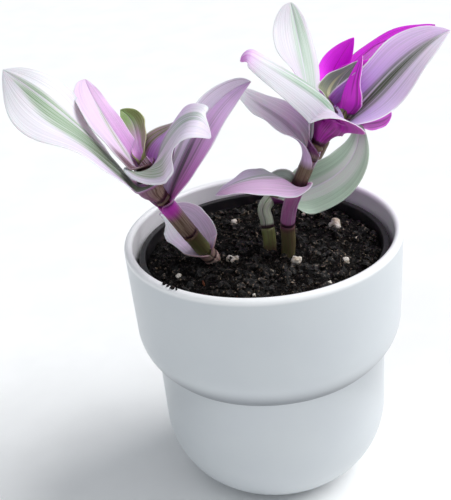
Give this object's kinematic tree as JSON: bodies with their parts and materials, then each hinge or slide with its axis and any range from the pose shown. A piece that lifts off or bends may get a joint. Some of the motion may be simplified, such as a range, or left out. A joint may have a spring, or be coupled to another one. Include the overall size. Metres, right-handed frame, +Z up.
{
  "type": "potted plant",
  "caption": "Young variegated tradescantia with pink, white, green and purple leaves on three shoots, in peat in a plastic nursery pot inside a stepped white ceramic pot",
  "frame": {"origin": "the centre of the pot's flat foot, on the surface that it stands on", "axes": "+Z up along the pot's axis; -Y is the pot's front, towards the viewer of the picture; +X is to the viewer's right"},
  "size_m": [0.1633, 0.1105, 0.1892],
  "materials": {
    "ceramic": "white glazed ceramic, satin gloss",
    "nursery_plastic": "thin black plastic, semi-matt",
    "peat": "dark fibrous peat with perlite grains, rough",
    "stem": "living stem, olive and brown, semi-matt",
    "leaf": "living leaf, white, pink, green and purple, satin"
  },
  "bodies": {
    "root": {"pot": "ceramic", "nursery_pot": "nursery_plastic", "soil": "peat", "stem_left": "stem", "stem_right": "stem", "stem_back": "stem", "leaf_left_1": "leaf", "leaf_left_2": "leaf", "leaf_left_3": "leaf", "leaf_left_4": "leaf", "leaf_left_5": "leaf", "leaf_left_6": "leaf", "leaf_right_1": "leaf", "leaf_right_2": "leaf", "leaf_right_3": "leaf", "leaf_right_4": "leaf", "leaf_right_5": "leaf", "leaf_right_6": "leaf", "leaf_right_7": "leaf", "leaf_back_1": "leaf", "leaf_back_2": "leaf", "leaf_back_3": "leaf", "leaf_back_4": "leaf", "leaf_back_5": "leaf"}
  },
  "joints": []
}
